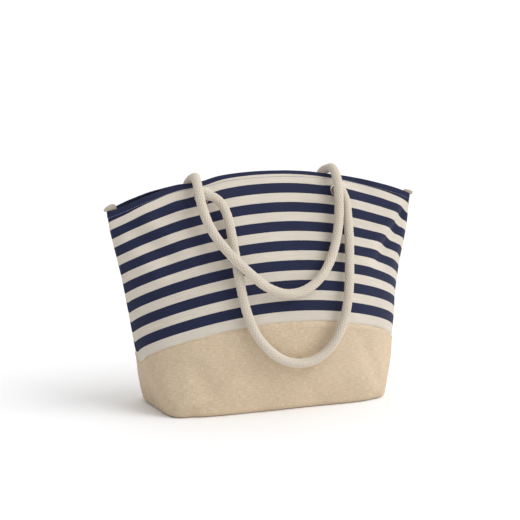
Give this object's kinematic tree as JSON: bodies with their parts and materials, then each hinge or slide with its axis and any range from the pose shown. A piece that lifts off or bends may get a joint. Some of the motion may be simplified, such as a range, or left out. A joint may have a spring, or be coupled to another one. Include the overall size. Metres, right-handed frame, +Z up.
{
  "type": "beach bag",
  "caption": "Zipped tote bag with an arched mouth, striped canvas sides, a plain woven boxed base and rope handles knotted through metal eyelets.",
  "frame": {"origin": "middle of the flat underside of the bag, on the surface it stands on", "axes": "+X along the bag's width, +Z up, -Y towards the front, where both handles hang"},
  "size_m": [0.504, 0.2002, 0.3628],
  "materials": {
    "canvas": "cotton canvas, navy and natural yarn-dyed stripes",
    "base_cloth": "natural jute and cotton plain weave",
    "rope": "braided natural cotton",
    "zip_tape": "woven tape",
    "zip_teeth": "moulded coil, tan",
    "zip_metal": "plated, satin",
    "eyelet_metal": "nickel plated"
  },
  "bodies": {
    "bag": {"base_panel": "base_cloth", "front_canvas_panel": "canvas", "back_canvas_panel": "canvas", "zip_tape_front": "zip_tape", "zip_tape_back": "zip_tape", "zip_coil_front": "zip_teeth", "zip_coil_back": "zip_teeth", "zip_top_stops": "zip_metal", "zip_bottom_stop": "zip_metal", "zip_end_tab_left": "zip_tape", "zip_end_tab_right": "zip_tape", "front_left_eyelet": "eyelet_metal", "front_left_washer": "eyelet_metal", "front_left_knot": "rope", "front_right_eyelet": "eyelet_metal", "front_right_washer": "eyelet_metal", "front_right_knot": "rope", "back_left_eyelet": "eyelet_metal", "back_left_washer": "eyelet_metal", "back_left_knot": "rope", "back_right_eyelet": "eyelet_metal", "back_right_washer": "eyelet_metal", "back_right_knot": "rope"},
    "front_handle": {"front_handle_rope": "rope"},
    "back_handle": {"back_handle_rope": "rope"},
    "slider": {"zip_slider": "zip_metal"},
    "pull": {"zip_pull": "zip_metal"}
  },
  "joints": [
    {"name": "back_handle_swing", "type": "hinge", "parent": "bag", "child": "back_handle", "pos_m": [0, 0.03536, 0.32196], "axis": [-1, 0, 0], "range_deg": [0, 118]},
    {"name": "front_handle_swing", "type": "hinge", "parent": "bag", "child": "front_handle", "pos_m": [0, -0.03536, 0.32196], "axis": [-1, 0, 0], "range_deg": [0, 141.6]},
    {"name": "zip_slide", "type": "hinge", "parent": "bag", "child": "slider", "pos_m": [0, 0, -0.3615], "axis": [0, -1, 0], "range_deg": [0, 34]},
    {"name": "zip_pull_flip", "type": "hinge", "parent": "slider", "child": "pull", "pos_m": [0.20614, 0, 0.31259], "axis": [0, 1, 0], "range_deg": [0, 170]}
  ],
  "couplings": [
    {"joint": "front_handle_swing", "follows": "back_handle_swing", "ratio": 1.2}
  ]
}
